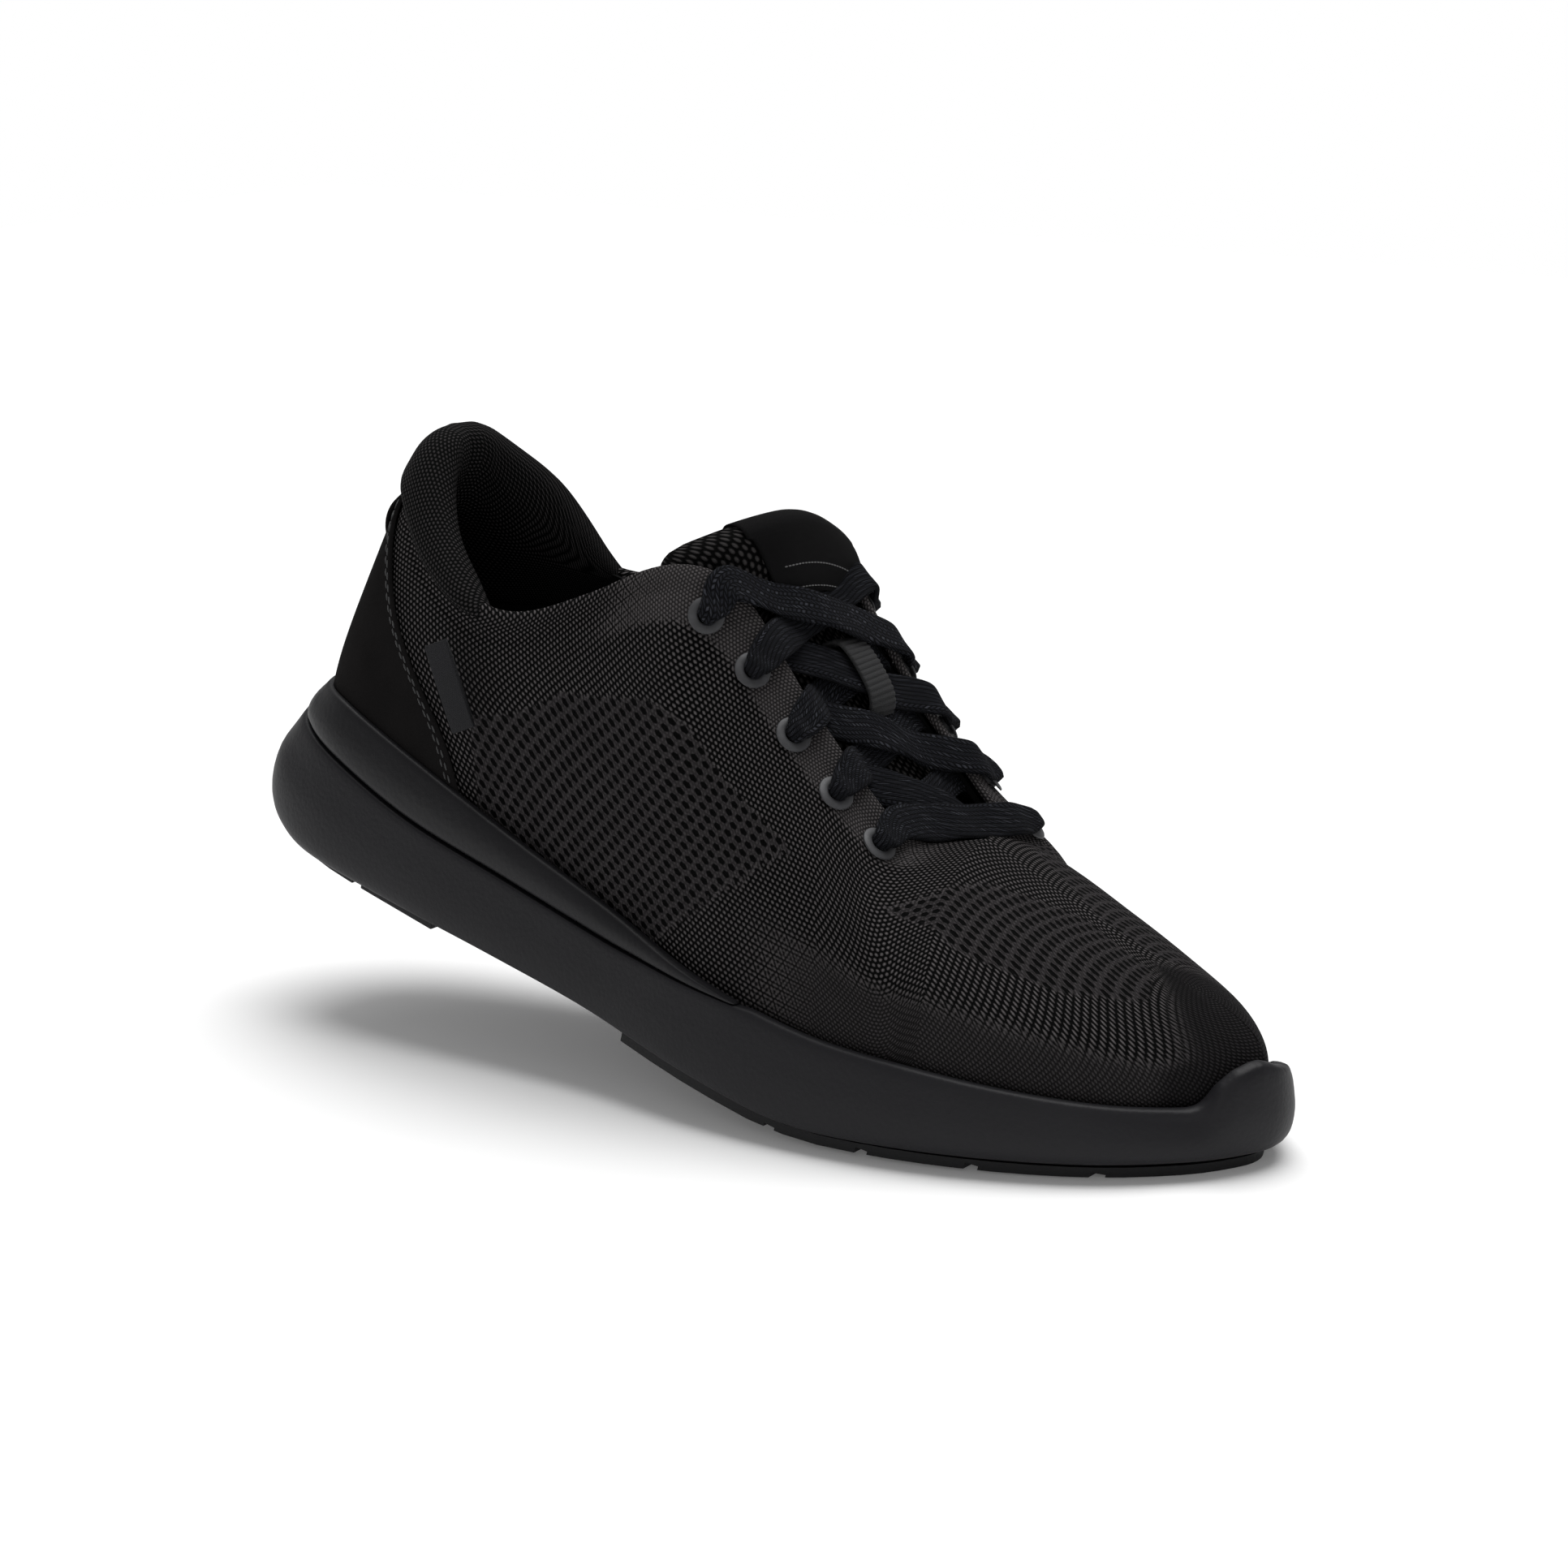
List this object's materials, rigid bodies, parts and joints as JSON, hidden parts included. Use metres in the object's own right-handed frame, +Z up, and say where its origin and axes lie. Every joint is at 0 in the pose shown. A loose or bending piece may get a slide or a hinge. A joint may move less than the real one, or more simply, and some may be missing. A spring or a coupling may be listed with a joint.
{
  "type": "running shoe",
  "caption": "Low knitted running shoe with padded collar, laced tongue, moulded heel panel, foam midsole and grooved rubber outsole.",
  "frame": {"origin": "centre of the outsole's ground plane, midway along the shoe's length and across its greatest width", "axes": "+X towards the toe, +Y towards the inner (medial) side, +Z up"},
  "size_m": [0.306, 0.1078, 0.1334],
  "materials": {
    "knit": "fine knitted polyester, very dark charcoal",
    "lining_mesh": "matt black lining mesh",
    "board": "stiff non-woven board",
    "stiffener": "moulded stiffener sheet",
    "backing": "bonded backing tape",
    "suede": "very matt synthetic suede",
    "foam": "foamed sole with a fine pebbled skin",
    "foam_band": "satin moulded band",
    "outsole_rubber": "solid rubber",
    "insole_foam": "fabric covered foam",
    "eyelet_paint": "matt dark grey paint",
    "lace_cotton": "flat braid with lighter flecks",
    "ribbon": "ribbed woven tape",
    "label_twill": "dark grey twill",
    "label_satin": "satin woven tape"
  },
  "bodies": {
    "shoe": {"outsole_heel": "outsole_rubber", "outsole_forefoot": "outsole_rubber", "midsole": "foam", "midsole_heel_cradle": "foam_band", "strobel_board": "board", "upper_knit": "knit", "lining": "lining_mesh", "heel_counter": "stiffener", "toe_puff": "stiffener", "eyestay_backing_lateral": "backing", "eyestay_backing_medial": "backing", "heel_panel": "suede", "eyelet_lateral_1": "eyelet_paint", "eyelet_lateral_2": "eyelet_paint", "eyelet_lateral_3": "eyelet_paint", "eyelet_lateral_4": "eyelet_paint", "eyelet_lateral_5": "eyelet_paint", "eyelet_medial_1": "eyelet_paint", "eyelet_medial_2": "eyelet_paint", "eyelet_medial_3": "eyelet_paint", "eyelet_medial_4": "eyelet_paint", "eyelet_medial_5": "eyelet_paint", "collar_roll": "lining_mesh", "tongue": "lining_mesh", "tongue_label": "label_satin", "lace": "lace_cotton", "lace_keeper": "ribbon"},
    "insole_body": {"insole": "insole_foam"},
    "tab_body": {"heel_pull_tab": "ribbon"},
    "label_body": {"side_label": "label_twill"}
  },
  "joints": [
    {"name": "insole_lift", "type": "hinge", "parent": "shoe", "child": "insole_body", "pos_m": [0.1353, 0.005, 0.0362], "axis": [0, 1, 0], "range_deg": [0, 7]},
    {"name": "heel_tab_flex", "type": "hinge", "parent": "shoe", "child": "tab_body", "pos_m": [-0.1364, 0, 0.087], "axis": [0, -1, 0], "range_deg": [0, 45], "stiffness_Nm_per_rad": 0.001},
    {"name": "side_label_flap", "type": "hinge", "parent": "shoe", "child": "label_body", "pos_m": [-0.0845, -0.0398, 0.067], "axis": [0.593, -0.013, -0.8051], "range_deg": [0, 90], "stiffness_Nm_per_rad": 0.001}
  ]
}
